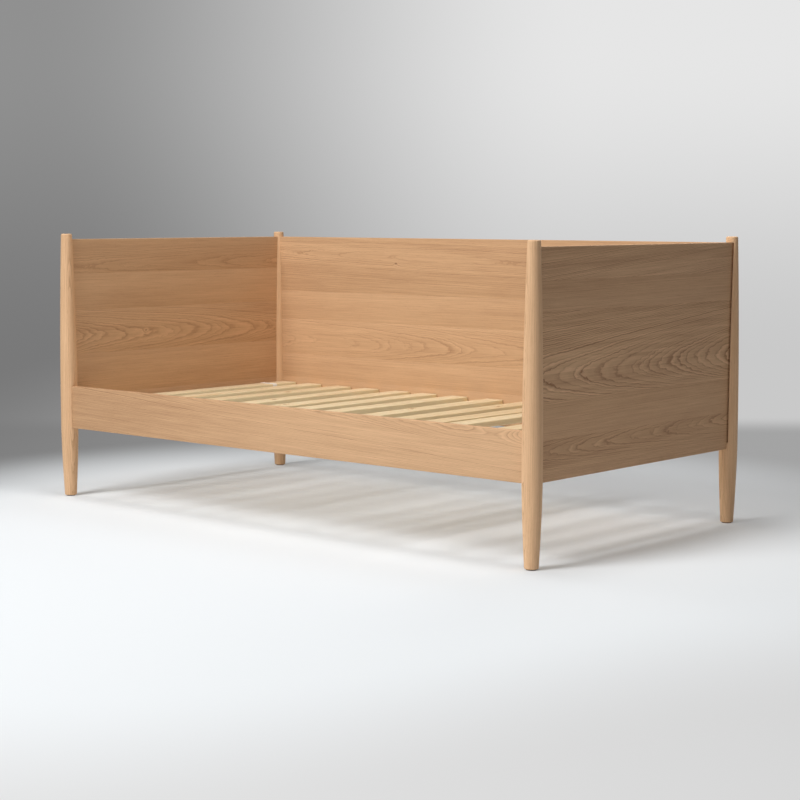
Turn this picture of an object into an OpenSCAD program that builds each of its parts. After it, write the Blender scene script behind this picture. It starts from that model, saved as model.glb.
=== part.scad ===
// Oak daybed: four turned posts, two end panels, a back panel, a low front rail
// and a loose roll of pine slats that lies on two cleats.
// +X runs along the bed, +Y to its back and +Z up. The origin is on the floor, in the middle.

/* [Bed] */
// Distance between the post centres along the bed
bed_length = 1950; // [1850:1:2050]
// Distance between the post centres across the bed
bed_depth = 1000; // [900:1:1100]

/* [Posts] */
// Height of the posts above the floor
post_height = 882; // [875:1:950]
// Radius of a post at its top
post_top_r = 18; // [17:0.1:20]
// Radius of a post at its waist, where it is thickest
post_waist_r = 28.5; // [27:0.1:31]
// Radius of a post at its foot
post_foot_r = 19.7; // [18:0.1:24]
// Height where the foot's taper ends and the waist starts
waist_bottom = 240; // [200:1:260]
// Height where the waist ends and the upper taper starts
waist_top = 300; // [280:1:340]
// Rounding of a post's top edge
post_edge_r = 4.5; // [1:0.5:5]

/* [Panels and rail] */
// Thickness of the panels and of the front rail
board_t = 19; // [17:0.1:20]
// Height of the lower edge of the panels and of the front rail
board_bottom = 232; // [225:1:236]
// Height of the panels' top edge
panel_top = 864; // [840:1:866]
// Height of the front rail's top edge
rail_top = 373; // [370:1:400]
// Easing of the boards' long edges
board_ease = 1.5; // [0.5:0.1:3]
// Width of the shadow gap beside a panel's outer face, where it enters a post
shadow_gap = 4.5; // [1:0.1:5]

/* [Slats] */
// Height of the slats' top, where the mattress lies
slat_top = 323; // [318:1:324]
// Width of a slat
slat_w = 68; // [50:1:68]
// Thickness of a slat
slat_t = 18; // [15:0.5:20]
// Easing of a slat's long edges
slat_ease = 2; // [0.5:0.1:4]
// Distance from a post's centre line to the middle of the first slat
slat_inset = 65; // [65:1:80]

/* [Webbing] */
// Width of the ribbons that hold the slats
webbing_w = 20; // [15:1:30]
// Thickness of the ribbons
webbing_t = 1.5; // [1:0.1:2]
// Distance from the bed's middle to each ribbon
webbing_y = 377; // [250:1:430]

/* [Fixings] */
// Radius of a beech dowel
dowel_r = 4; // [3:0.5:4]
// Radius of a hanger bolt's machine thread
bolt_r = 3; // [2.5:0.5:3]
// Radius of the round pocket that a hanger bolt's nut is reached through
pocket_r = 12; // [11:0.5:12]
// Thickness of the plastic glide under a foot
glide_t = 3; // [2:0.5:5]

/* [Hidden] */
$fn = 64;

oak = [0.83, 0.66, 0.49];
pine = [0.90, 0.80, 0.63];
beech = [0.85, 0.70, 0.52];
steel = [0.72, 0.73, 0.75];
ribbon = [0.93, 0.92, 0.88];
plastic = [0.30, 0.27, 0.24];

// How far each slat lies from an even spacing, from left to right. The ribbons leave it some play.
slat_shift = [0, -8, -8, 13, 17, -5, -13, 10, 12, -6, -53, -8, 0, 0];
// How far each slat is turned on the cleats, in degrees
slat_skew = [0, 0, -1, 2, 1.5, 0.8, 0, 1.2, 0, -0.6, 0, 1, -0.5, 0];
slat_count = len(slat_shift);
slat_pitch = (bed_length - 2 * slat_inset) / (slat_count - 1);
slat_end_gap = 3.5;
slat_length = bed_depth - board_t - 2 * slat_end_gap;
slat_bottom = slat_top - slat_t;

function slat_x(i) = -bed_length / 2 + slat_inset + i * slat_pitch + slat_shift[i];
function slat_x_at(i, y) = slat_x(i) - y * tan(slat_skew[i]);
function slat_name(i) = str("slat_", i < 9 ? "0" : "", i + 1);

// Turned posts. The upper taper and the foot's taper are two power curves.
upper_power = 1.9;
foot_power = 1.5;
upper_steps = 16;
foot_steps = 10;
edge_steps = 5;
foot_ease = 1.5;

function upper_r(z) = post_waist_r
    - (post_waist_r - post_top_r) * pow((z - waist_top) / (post_height - waist_top), upper_power);
function foot_r(z) = post_waist_r
    - (post_waist_r - post_foot_r) * pow((waist_bottom - z) / waist_bottom, foot_power);

// Joints between the boards and the posts. A groove's floor, a shadow gap's floor and a board's
// end are placed by their distance from the post's centre line.
fit = 0.3;
groove_r = 10;
groove_reach = 30;
gap_floor = 6.5;
end_clearance = 0.5;
board_end = groove_r + end_clearance;
shadow_start = 20;
panel_h = panel_top - board_bottom;
rail_h = rail_top - board_bottom;
board_length = bed_length - 2 * board_end;
panel_depth = bed_depth - 2 * board_end;

// Dowels
dowel_in_post = 12;
dowel_in_board = 20;
bore_gap = 0.1;
end_dowel_z = [278, 560, 820];
back_dowel_z = [340, 610, 790];
rail_dowel_z = [312];

// Hanger bolts, with a saddle washer and a nut in a round pocket in the board's inner face
bolt_in_post = 24;
pocket_x = 60;
pocket_depth = 15.5;
bolt_end = 66;
low_bolt_rise = 22;
high_bolt_drop = 26;
low_bolt_z = board_bottom + low_bolt_rise;
high_bolt_z = rail_top - high_bolt_drop;
saddle_h = 14;
saddle_flat = 5;
saddle_gap = 0.1;
nut_af = 10;
nut_t = 5;

// Cleats that carry the slats, and their screws
cleat_w = 22;
cleat_h = 28;
cleat_gap = 0.2;
cleat_inset = 35;
cleat_half = bed_length / 2 - cleat_inset;
cleat_ease = 1;
cleat_y = bed_depth / 2 - board_t / 2 - cleat_w / 2;
screw_count = 9;
screw_end = 60;
screw_r = 2;
screw_head_r = 4;
screw_head_h = 2.5;
screw_length = 33;

// Staples that hold the ribbons to the slats
staple_crown = 12;
staple_wire = 1.2;
staple_flat = 0.7;
staple_leg = 8;
// How far a ribbon's loose end hangs down the inner side of an outer slat
end_drop = 15;

// Glides
glide_r = 15;
glide_ease = 1;
nail_r = 1.2;
nail_length = 16;

// A rectangle that stands on the X axis, with eased corners
module eased_section(width, height, ease)
    polygon([
        [-width / 2 + ease, 0], [width / 2 - ease, 0],
        [width / 2, ease], [width / 2, height - ease],
        [width / 2 - ease, height], [-width / 2 + ease, height],
        [-width / 2, height - ease], [-width / 2, ease]]);

// A bar along X, centred on X and Y, that stands on z = 0
module bar_x(length, width, height, ease)
    rotate([90, 0, 90])
        linear_extrude(length, center = true)
            eased_section(width, height, ease);

// A bar along Y, centred on X and Y, that stands on z = 0
module bar_y(length, width, height, ease)
    rotate([90, 0, 0])
        linear_extrude(length, center = true)
            eased_section(width, height, ease);

// A round rod from one place on the X axis to another
module rod_x(r, start, end)
    translate([start, 0, 0])
        rotate([0, 90, 0])
            cylinder(r = r, h = end - start);

// A round rod from one place on the Y axis to another
module rod_y(r, start, end)
    translate([0, start, 0])
        rotate([-90, 0, 0])
            cylinder(r = r, h = end - start);

// Puts its children at a post. They are drawn for the front left post, where the inside of
// the bed is on their +X and +Y sides, and mirrored for the others.
module at_post(side_x, side_y)
    translate([side_x * bed_length / 2, side_y * bed_depth / 2, 0])
        mirror([side_x > 0 ? 1 : 0, 0, 0])
            mirror([0, side_y > 0 ? 1 : 0, 0])
                children();

module turned_post() {
    foot_points = [for (i = [1:foot_steps])
        let (z = glide_t + foot_ease + (waist_bottom - glide_t - foot_ease) * i / foot_steps)
        [foot_r(z), z]];
    edge_z = post_height - post_edge_r;
    upper_points = [for (i = [0:upper_steps])
        let (z = waist_top + (edge_z - waist_top) * i / upper_steps)
        [upper_r(z), z]];
    edge_points = [for (i = [1:edge_steps])
        let (turn = 90 * i / edge_steps)
        [upper_r(edge_z) - post_edge_r * (1 - cos(turn)), edge_z + post_edge_r * sin(turn)]];
    rotate_extrude()
        polygon(concat(
            [[0, glide_t], [foot_r(glide_t) - foot_ease, glide_t], [foot_r(glide_t), glide_t + foot_ease]],
            foot_points, upper_points, edge_points,
            [[0, post_height]]));
}

// Groove for the end panel, with the shadow gap on the panel's outer side
module end_panel_groove() {
    translate([-board_t / 2 - fit, groove_r, board_bottom - fit])
        cube([board_t + 2 * fit, groove_reach, panel_h + 2 * fit]);
    translate([-board_t / 2 - shadow_gap, gap_floor, board_bottom + shadow_start])
        cube([shadow_gap, groove_reach, panel_h - shadow_start + fit]);
}

// Groove for the board that runs along the bed: the back panel or the front rail
module long_board_groove(height)
    translate([groove_r, -board_t / 2 - fit, board_bottom - fit])
        cube([groove_reach, board_t + 2 * fit, height + 2 * fit]);

module back_shadow_groove()
    translate([gap_floor, -board_t / 2 - shadow_gap, board_bottom + shadow_start])
        cube([groove_reach, shadow_gap, panel_h - shadow_start + fit]);

// Dowels of a board along the bed, or their bores where gap is not 0, at the front left post
module long_dowels(heights, gap = 0)
    for (z = heights)
        translate([0, 0, z])
            rod_x(dowel_r + gap, groove_r - dowel_in_post - gap, board_end + dowel_in_board + gap);

// Dowels of an end panel, or their bores where gap is not 0, at the front left post
module end_dowels(gap = 0)
    for (z = end_dowel_z)
        translate([0, 0, z])
            rod_y(dowel_r + gap, groove_r - dowel_in_post - gap, board_end + dowel_in_board + gap);

// The hanger bolts of a board along the bed, or their bores where gap is not 0, at the front left post
module bolts(heights, gap = 0)
    for (z = heights)
        translate([0, 0, z])
            rod_x(bolt_r + gap, groove_r - bolt_in_post - gap, bolt_end);

// Bores and round pockets for the bolts in a board's end, as drawn at the front left post
module bolt_pockets(heights)
    for (z = heights)
        translate([0, 0, z]) {
            rod_x(bolt_r + fit, 0, pocket_x);
            translate([pocket_x, 0, 0])
                rod_y(pocket_r, board_t / 2 - pocket_depth, board_t);
        }

// Saddle washers: round on the pocket's wall and flat under the nut
module saddles(heights)
    for (z = heights)
        translate([pocket_x, board_t / 2 - pocket_depth + saddle_gap, z])
            difference() {
                intersection() {
                    rod_y(pocket_r - saddle_gap, 0, saddle_h);
                    translate([-2 * pocket_r - saddle_flat, 0, -pocket_r])
                        cube([2 * pocket_r, saddle_h, 2 * pocket_r]);
                }
                translate([0, pocket_depth - board_t / 2 - saddle_gap, 0])
                    rod_x(bolt_r + fit, -2 * pocket_r, 0);
            }

module nuts(heights)
    for (z = heights)
        translate([pocket_x - saddle_flat, 0, z])
            rotate([0, 90, 0])
                difference() {
                    cylinder(r = nut_af / 2 / cos(30), h = nut_t, $fn = 6);
                    translate([0, 0, -1])
                        cylinder(r = bolt_r, h = nut_t + 2);
                }

module glide_nail(r)
    translate([0, 0, glide_t / 2])
        cylinder(r = r, h = nail_length);

module front_post(side_x)
    color(oak)
        at_post(side_x, -1)
            difference() {
                turned_post();
                end_panel_groove();
                long_board_groove(rail_h);
                end_dowels(bore_gap);
                long_dowels(rail_dowel_z, bore_gap);
                bolts([low_bolt_z, high_bolt_z], bore_gap);
                glide_nail(nail_r);
            }

module back_post(side_x)
    color(oak)
        at_post(side_x, 1)
            difference() {
                turned_post();
                end_panel_groove();
                long_board_groove(panel_h);
                back_shadow_groove();
                end_dowels(bore_gap);
                long_dowels(back_dowel_z, bore_gap);
                bolts([low_bolt_z], bore_gap);
                glide_nail(nail_r);
            }

module end_panel(side_x)
    color(oak)
        difference() {
            translate([side_x * bed_length / 2, 0, board_bottom])
                bar_y(panel_depth, board_t, panel_h, board_ease);
            for (side_y = [-1, 1])
                at_post(side_x, side_y)
                    end_dowels(bore_gap);
        }

module back_panel()
    color(oak)
        difference() {
            translate([0, bed_depth / 2, board_bottom])
                bar_x(board_length, board_t, panel_h, board_ease);
            for (side_x = [-1, 1])
                at_post(side_x, 1) {
                    long_dowels(back_dowel_z, bore_gap);
                    bolt_pockets([low_bolt_z]);
                }
            cleat_screws(1);
        }

module front_rail()
    color(oak)
        difference() {
            translate([0, -bed_depth / 2, board_bottom])
                bar_x(board_length, board_t, rail_h, board_ease);
            for (side_x = [-1, 1])
                at_post(side_x, -1) {
                    long_dowels(rail_dowel_z, bore_gap);
                    bolt_pockets([low_bolt_z, high_bolt_z]);
                }
            cleat_screws(-1);
        }

// The screws of one cleat, driven outwards from its inner face
module cleat_screws(side_y)
    for (i = [0:screw_count - 1])
        let (x = -cleat_half + screw_end + i * 2 * (cleat_half - screw_end) / (screw_count - 1))
        translate([x, side_y * (cleat_y - cleat_w / 2), slat_bottom - cleat_gap - cleat_h / 2])
            rotate([side_y > 0 ? -90 : 90, 0, 0]) {
                cylinder(r = screw_r, h = screw_length);
                cylinder(r1 = screw_head_r, r2 = screw_r, h = screw_head_h);
            }

module cleat(side_y)
    color(pine)
        difference() {
            translate([0, side_y * cleat_y, slat_bottom - cleat_gap - cleat_h])
                bar_x(2 * cleat_half, cleat_w, cleat_h, cleat_ease);
            cleat_screws(side_y);
        }

module end_panel_dowels(side_x)
    color(beech)
        for (side_y = [-1, 1])
            at_post(side_x, side_y)
                end_dowels();

module back_panel_dowels()
    color(beech)
        for (side_x = [-1, 1])
            at_post(side_x, 1)
                long_dowels(back_dowel_z);

module front_rail_dowels()
    color(beech)
        for (side_x = [-1, 1])
            at_post(side_x, -1)
                long_dowels(rail_dowel_z);

// Bolts, washers and nuts all stand at the same six places
module at_bolts(side_y)
    for (side_x = [-1, 1])
        at_post(side_x, side_y)
            children();

module hanger_bolts()
    color(steel) {
        at_bolts(-1) bolts([low_bolt_z, high_bolt_z]);
        at_bolts(1) bolts([low_bolt_z]);
    }

module saddle_washers()
    color(steel) {
        at_bolts(-1) saddles([low_bolt_z, high_bolt_z]);
        at_bolts(1) saddles([low_bolt_z]);
    }

module bolt_nuts()
    color(steel) {
        at_bolts(-1) nuts([low_bolt_z, high_bolt_z]);
        at_bolts(1) nuts([low_bolt_z]);
    }

module floor_glides()
    color(plastic)
        for (side_x = [-1, 1], side_y = [-1, 1])
            at_post(side_x, side_y)
                difference() {
                    rotate_extrude()
                        polygon([
                            [0, 0], [glide_r - glide_ease, 0], [glide_r, glide_ease],
                            [glide_r, glide_t], [0, glide_t]]);
                    glide_nail(nail_r);
                }

module glide_nails()
    color(steel)
        for (side_x = [-1, 1], side_y = [-1, 1])
            at_post(side_x, side_y)
                glide_nail(nail_r);

module slat(i)
    color(pine)
        difference() {
            translate([slat_x(i), 0, slat_bottom])
                rotate([0, 0, slat_skew[i]])
                    bar_y(slat_length, slat_w, slat_t, slat_ease);
            for (side_y = [-1, 1])
                slat_staples(i, side_y);
        }

// A staple with its crown centred on the origin, along X, and its legs up from z = 0
module staple() {
    translate([-staple_crown / 2, -staple_wire / 2, -staple_flat])
        cube([staple_crown, staple_wire, staple_flat]);
    for (side = [-1, 1])
        translate([side * (staple_crown - staple_flat) / 2 - staple_flat / 2, -staple_wire / 2, 0])
            cube([staple_flat, staple_wire, staple_leg]);
}

// The staples in one slat for one ribbon. The two outer slats have one more on top.
module slat_staples(i, side_y) {
    y = side_y * webbing_y;
    translate([slat_x_at(i, y), y, slat_bottom - webbing_t])
        staple();
    if (i == 0 || i == slat_count - 1)
        translate([slat_x(i), y, slat_top + webbing_t])
            mirror([0, 0, 1])
                staple();
}

// A ribbon runs under all the slats, and wraps up and over the first and the last
module webbing(side_y)
    color(ribbon)
        difference() {
            translate([0, side_y * webbing_y, 0])
                union() {
                    run = slat_x(slat_count - 1) + slat_w / 2 + webbing_t;
                    wrap = slat_w + 2 * webbing_t;
                    translate([-run, -webbing_w / 2, slat_bottom - webbing_t])
                        cube([2 * run, webbing_w, webbing_t]);
                    for (side_x = [-1, 1])
                        mirror([side_x > 0 ? 1 : 0, 0, 0]) {
                            translate([-run, -webbing_w / 2, slat_bottom - webbing_t])
                                cube([webbing_t, webbing_w, slat_t + 2 * webbing_t]);
                            translate([-run, -webbing_w / 2, slat_top])
                                cube([wrap, webbing_w, webbing_t]);
                            translate([-run + wrap - webbing_t, -webbing_w / 2, slat_top - end_drop])
                                cube([webbing_t, webbing_w, end_drop + webbing_t]);
                        }
                }
            for (i = [0:slat_count - 1])
                slat_staples(i, side_y);
        }

module webbing_staples()
    color(steel)
        for (side_y = [-1, 1], i = [0:slat_count - 1])
            slat_staples(i, side_y);

front_post(-1);  // post_front_left
front_post(1);  // post_front_right
back_post(-1);  // post_back_left
back_post(1);  // post_back_right
end_panel(-1);  // left_end_panel
end_panel(1);  // right_end_panel
back_panel();
front_rail();
cleat(-1);  // front_cleat
cleat(1);  // back_cleat
color(steel) cleat_screws(-1);  // front_cleat_screws
color(steel) cleat_screws(1);  // back_cleat_screws
end_panel_dowels(-1);  // left_end_dowels
end_panel_dowels(1);  // right_end_dowels
back_panel_dowels();
front_rail_dowels();
hanger_bolts();
saddle_washers();
bolt_nuts();
floor_glides();
glide_nails();
for (i = [0:slat_count - 1])
    slat(i);
webbing(-1);  // front_webbing
webbing(1);  // back_webbing
webbing_staples();
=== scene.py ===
"""Looks of the oak daybed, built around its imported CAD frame.

+X runs along the bed, +Y to its back and +Z up, in metres, as in the frame.
"""

import math
import random

import bmesh
import bpy
from mathutils import Matrix, Vector


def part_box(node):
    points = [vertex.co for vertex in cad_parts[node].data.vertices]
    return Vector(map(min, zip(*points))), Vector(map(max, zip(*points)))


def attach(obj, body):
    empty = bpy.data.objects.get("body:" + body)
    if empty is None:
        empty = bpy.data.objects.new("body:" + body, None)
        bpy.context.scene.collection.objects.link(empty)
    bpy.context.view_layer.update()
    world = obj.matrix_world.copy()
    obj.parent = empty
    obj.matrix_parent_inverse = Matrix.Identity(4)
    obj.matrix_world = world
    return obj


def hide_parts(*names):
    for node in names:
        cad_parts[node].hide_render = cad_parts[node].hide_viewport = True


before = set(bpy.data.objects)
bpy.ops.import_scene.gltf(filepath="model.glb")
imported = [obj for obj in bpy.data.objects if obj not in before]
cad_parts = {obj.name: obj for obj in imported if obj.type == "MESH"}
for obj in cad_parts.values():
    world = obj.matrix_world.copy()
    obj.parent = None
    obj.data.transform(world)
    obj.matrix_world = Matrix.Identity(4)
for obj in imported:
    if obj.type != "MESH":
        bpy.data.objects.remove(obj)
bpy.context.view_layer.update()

MM = 0.001
LEFT, RIGHT = -1, 1
FRONT, BACK = -1, 1


# ---------------------------------------------------------------- places from the frame

def middle(node):
    """Centre of a CAD node's box."""
    low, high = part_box(node)
    return (low + high) / 2


def half_size(node):
    """Half of a CAD node's box, along each axis."""
    low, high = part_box(node)
    return (high - low) / 2


POSTS = {
    "post_front_left": (LEFT, FRONT),
    "post_front_right": (RIGHT, FRONT),
    "post_back_left": (LEFT, BACK),
    "post_back_right": (RIGHT, BACK),
}
POST_X = middle("post_back_right").x
POST_Y = middle("post_back_right").y
POST_LOW, POST_HIGH = (corner.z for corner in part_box("post_back_right"))
WAIST_R = half_size("post_back_right").x
BOARD_T = 2 * half_size("back_panel").y
PANEL_LOW, PANEL_HIGH = (corner.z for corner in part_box("back_panel"))
RAIL_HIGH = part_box("front_rail")[1].z
SLATS = sorted(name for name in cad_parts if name.startswith("slat_"))
SLAT_LOW, SLAT_HIGH = (corner.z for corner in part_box(SLATS[0]))


# ---------------------------------------------------------------- meshes

def new_object(name, mesh):
    """Puts a new object in the scene."""
    piece = bpy.data.objects.new(name, mesh)
    bpy.context.scene.collection.objects.link(piece)
    return piece


def smooth_by_angle(mesh, degrees=35):
    """Smooth faces with sharp edges where two faces meet at more than this angle."""
    shape = bmesh.new()
    shape.from_mesh(mesh)
    for face in shape.faces:
        face.smooth = True
    for edge in shape.edges:
        edge.smooth = edge.is_manifold and edge.calc_face_angle(0) < math.radians(degrees)
    shape.to_mesh(mesh)
    shape.free()


def finished(name, shape, angle=35):
    """An object from a bmesh, with its normals outwards."""
    bmesh.ops.recalc_face_normals(shape, faces=shape.faces)
    mesh = bpy.data.meshes.new(name)
    shape.to_mesh(mesh)
    shape.free()
    smooth_by_angle(mesh, angle)
    return new_object(name, mesh)


def rounded_section(low, high, radii, steps=4):
    """A rectangle from low to high, with one radius per corner: (-,-), (+,-), (+,+), (-,+)."""
    corners = [(low[0], low[1]), (high[0], low[1]), (high[0], high[1]), (low[0], high[1])]
    inward = [(1, 1), (-1, 1), (-1, -1), (1, -1)]
    points = []
    for corner, radius, side, start in zip(corners, radii, inward, (180, 270, 0, 90)):
        centre = (corner[0] + side[0] * radius, corner[1] + side[1] * radius)
        for step in range(steps + 1):
            angle = math.radians(start + 90 * step / steps)
            points.append((centre[0] + radius * math.cos(angle), centre[1] + radius * math.sin(angle)))
    return points


def skin(shape, rings):
    """Closes a row of equal rings of points into a tube with flat ends."""
    count = len(rings[0])
    for first, second in zip(rings, rings[1:]):
        for i in range(count):
            j = (i + 1) % count
            shape.faces.new((first[i], first[j], second[j], second[i]))
    shape.faces.new(rings[0])
    shape.faces.new(rings[-1])


def prism(shape, section, along, start, end, cuts=1, bend=None):
    """Sweeps a closed section along axis "x" or "y". Its points are (across, z)."""
    rings = []
    for cut in range(cuts + 1):
        place = start + (end - start) * cut / cuts
        ring = []
        for across, z in section:
            at = Vector((place, across, z) if along == "x" else (across, place, z))
            ring.append(shape.verts.new(bend(at) if bend else at))
        rings.append(ring)
    skin(shape, rings)


def lathe(shape, outline, centre, sides=96):
    """Turns an outline of (radius, z) points about the upright axis through centre."""
    turn = 2 * math.pi / sides
    rings = []
    for radius, z in outline:
        ring = []
        for k in range(sides if radius > 0 else 1):
            x = centre[0] + radius * math.cos(k * turn)
            y = centre[1] + radius * math.sin(k * turn)
            ring.append(shape.verts.new((x, y, z)))
        rings.append(ring)
    for lower, upper in zip(rings, rings[1:]):
        for k in range(sides):
            nxt = (k + 1) % sides
            if len(lower) == 1:
                shape.faces.new((lower[0], upper[k], upper[nxt]))
            elif len(upper) == 1:
                shape.faces.new((lower[k], lower[nxt], upper[0]))
            else:
                shape.faces.new((lower[k], lower[nxt], upper[nxt], upper[k]))


def cut_with(piece, cutters):
    """Takes the cutters' shapes out of a piece, for good."""
    for cutter in cutters:
        change = piece.modifiers.new("cut", "BOOLEAN")
        change.operation = "DIFFERENCE"
        change.solver = "EXACT"
        change.object = cutter
    bpy.context.view_layer.update()
    graph = bpy.context.evaluated_depsgraph_get()
    cut = bpy.data.meshes.new_from_object(piece.evaluated_get(graph))
    cut.name = piece.name
    piece.modifiers.clear()
    piece.data = cut
    for cutter in cutters:
        bpy.data.objects.remove(cutter)
    smooth_by_angle(piece.data)


def box_cutter(low, high):
    """A box between two opposite corners, given in either order."""
    shape = bmesh.new()
    low, high = [min(pair) for pair in zip(low, high)], [max(pair) for pair in zip(low, high)]
    bmesh.ops.create_cube(shape, size=1)
    for vert in shape.verts:
        vert.co = Vector([low[k] + (vert.co[k] + 0.5) * (high[k] - low[k]) for k in range(3)])
    return finished("cutter", shape)


def round_cutter(centre, radius, depth, sides=64):
    """A cylinder along Y that ends at depth."""
    shape = bmesh.new()
    ring = [(centre[0] + radius * math.cos(2 * math.pi * k / sides),
             centre[2] + radius * math.sin(2 * math.pi * k / sides)) for k in range(sides)]
    prism(shape, ring, "y", centre[1], centre[1] + depth)
    return finished("cutter", shape)


def dress(piece, node, material, body):
    """Gives a piece its material and body, and hides the CAD node that it stands for."""
    piece.data.materials.clear()
    piece.data.materials.append(material)
    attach(piece, body)
    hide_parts(node)


# ---------------------------------------------------------------- wood grain

def set_grain(piece, log, board, figure=1.0, knot=None, painted_shade_left=0.0):
    """Gives a piece the coordinates of the log that it was cut from.

    log turns a place into (along the grain, across the pith, away from the pith). board holds the
    log's taper, its ring width in millimetres and the board's tone. figure is how strongly the
    grain shows. knot is (along, across, radius). painted_shade_left is painted shade: how much
    deeper the tone gets for each metre to the left of the bed's middle, where less light falls.
    """
    corners = [vert.co for vert in piece.data.vertices]
    places = [log(at) for at in corners]
    taper, ring_width, tone = board
    # Painted shade: the tone deepens to the left of the bed's middle, where less light falls
    boards = [(taper, ring_width, tone + painted_shade_left * max(0.0, -at.x)) for at in corners]
    spots = [(place[0] - knot[0], place[1] - knot[1], knot[2]) if knot else (0, 0, 0) for place in places]
    store(piece, "grain", places)
    store(piece, "board", boards)
    store(piece, "knot", spots)
    store(piece, "figure", [(figure, 0, 0)] * len(places))


def store(piece, name, vectors):
    """Keeps one vector for each of a piece's points, for its material to read."""
    layer = piece.data.attributes.new(name, "FLOAT_VECTOR", "POINT")
    layer.data.foreach_set("vector", [number for vector in vectors for number in vector])


class Graph:
    """A material's node tree, with one short call for each kind of node."""

    def __init__(self, name):
        self.material = bpy.data.materials.new(name)
        self.material.use_nodes = True
        self.tree = self.material.node_tree
        self.shader = self.tree.nodes["Principled BSDF"]

    def put(self, socket, value):
        """Links a socket to another one, or sets it to a plain value."""
        if isinstance(value, bpy.types.NodeSocket):
            self.tree.links.new(value, socket)
        else:
            socket.default_value = value

    def node(self, kind, **settings):
        made = self.tree.nodes.new(kind)
        for key, value in settings.items():
            setattr(made, key, value)
        return made

    def math(self, operation, *values):
        made = self.node("ShaderNodeMath", operation=operation)
        for socket, value in zip(made.inputs, values):
            self.put(socket, value)
        return made.outputs[0]

    def total(self, *values):
        result = values[0]
        for value in values[1:]:
            result = self.math("ADD", result, value)
        return result

    def times(self, a, b):
        return self.math("MULTIPLY", a, b)

    def swing(self, noise, amount):
        """Noise from 0 to 1, moved to lie around 0 and then scaled."""
        return self.times(self.math("SUBTRACT", noise, 0.5), amount)

    def clamp(self, value):
        return self.math("MINIMUM", self.math("MAXIMUM", value, 0.0), 1.0)

    def vector(self, x, y, z):
        made = self.node("ShaderNodeCombineXYZ")
        for socket, value in zip(made.inputs, (x, y, z)):
            self.put(socket, value)
        return made.outputs[0]

    def grey(self, value):
        return self.vector(value, value, value)

    def parts(self, vector):
        made = self.node("ShaderNodeSeparateXYZ")
        self.put(made.inputs[0], vector)
        return made.outputs

    def object_place(self):
        """The x, y and z of the shaded point in its piece's own frame, in metres."""
        return self.parts(self.node("ShaderNodeTexCoord").outputs["Object"])

    def attribute(self, name):
        return self.node("ShaderNodeAttribute", attribute_name=name).outputs["Vector"]

    def noise(self, vector, detail=2.0):
        made = self.node("ShaderNodeTexNoise", noise_dimensions="3D")
        self.put(made.inputs["Vector"], vector)
        made.inputs["Scale"].default_value = 1
        made.inputs["Detail"].default_value = detail
        return made.outputs[0]

    def cycles(self, place, per_metre, detail=2.0):
        """Noise with so many cycles a metre along each axis of a place in three parts."""
        scaled = [self.times(part, number) for part, number in zip(place, per_metre)]
        return self.noise(self.vector(*scaled), detail)

    def noise_line(self, value, detail=1.0):
        made = self.node("ShaderNodeTexNoise", noise_dimensions="1D")
        self.put(made.inputs["W"], value)
        made.inputs["Scale"].default_value = 1
        made.inputs["Detail"].default_value = detail
        return made.outputs[0]

    def chance(self, value):
        """A random number from 0 to 1 for each value."""
        made = self.node("ShaderNodeTexWhiteNoise", noise_dimensions="1D")
        self.put(made.inputs["W"], value)
        return made.outputs["Value"]

    def step(self, value, low, high, out_low=0.0, out_high=1.0):
        """Rises smoothly from out_low to out_high as value goes from low to high."""
        made = self.node("ShaderNodeMapRange", interpolation_type="SMOOTHSTEP")
        for socket, number in zip(made.inputs, (value, low, high, out_low, out_high)):
            self.put(socket, number)
        return made.outputs[0]

    def mix(self, share, first, second):
        """Goes from the first colour to the second as share goes from 0 to 1."""
        made = self.node("ShaderNodeMix", data_type="RGBA")
        colours = [socket for socket in made.inputs if socket.type == "RGBA"]
        self.put(made.inputs[0], share)
        self.put(colours[0], first)
        self.put(colours[1], second)
        return next(socket for socket in made.outputs if socket.type == "RGBA")

    def bump(self, height, distance, strength=1.0):
        made = self.node("ShaderNodeBump")
        self.put(made.inputs["Height"], height)
        made.inputs["Distance"].default_value = distance
        made.inputs["Strength"].default_value = strength
        self.put(self.shader.inputs["Normal"], made.outputs[0])

    def set(self, **values):
        """Sets or links the shader's inputs, by their names with _ for each space."""
        for name, value in values.items():
            self.put(self.shader.inputs[name.replace("_", " ")], value)


def linear(red, green, blue):
    """A display colour from 0 to 255, as the linear colour that a shader takes."""
    parts = [c / 255 for c in (red, green, blue)]
    return tuple(c / 12.92 if c <= 0.04045 else ((c + 0.055) / 1.055) ** 2.4 for c in parts) + (1.0,)


# How a knot bends the rings: how far it is drawn out along the grain, how fast its push dies away
# with distance, and how strong the push is
KNOT_STRETCH = 0.6
KNOT_FALLOFF = 0.3
KNOT_PUSH = 1.6


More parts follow.
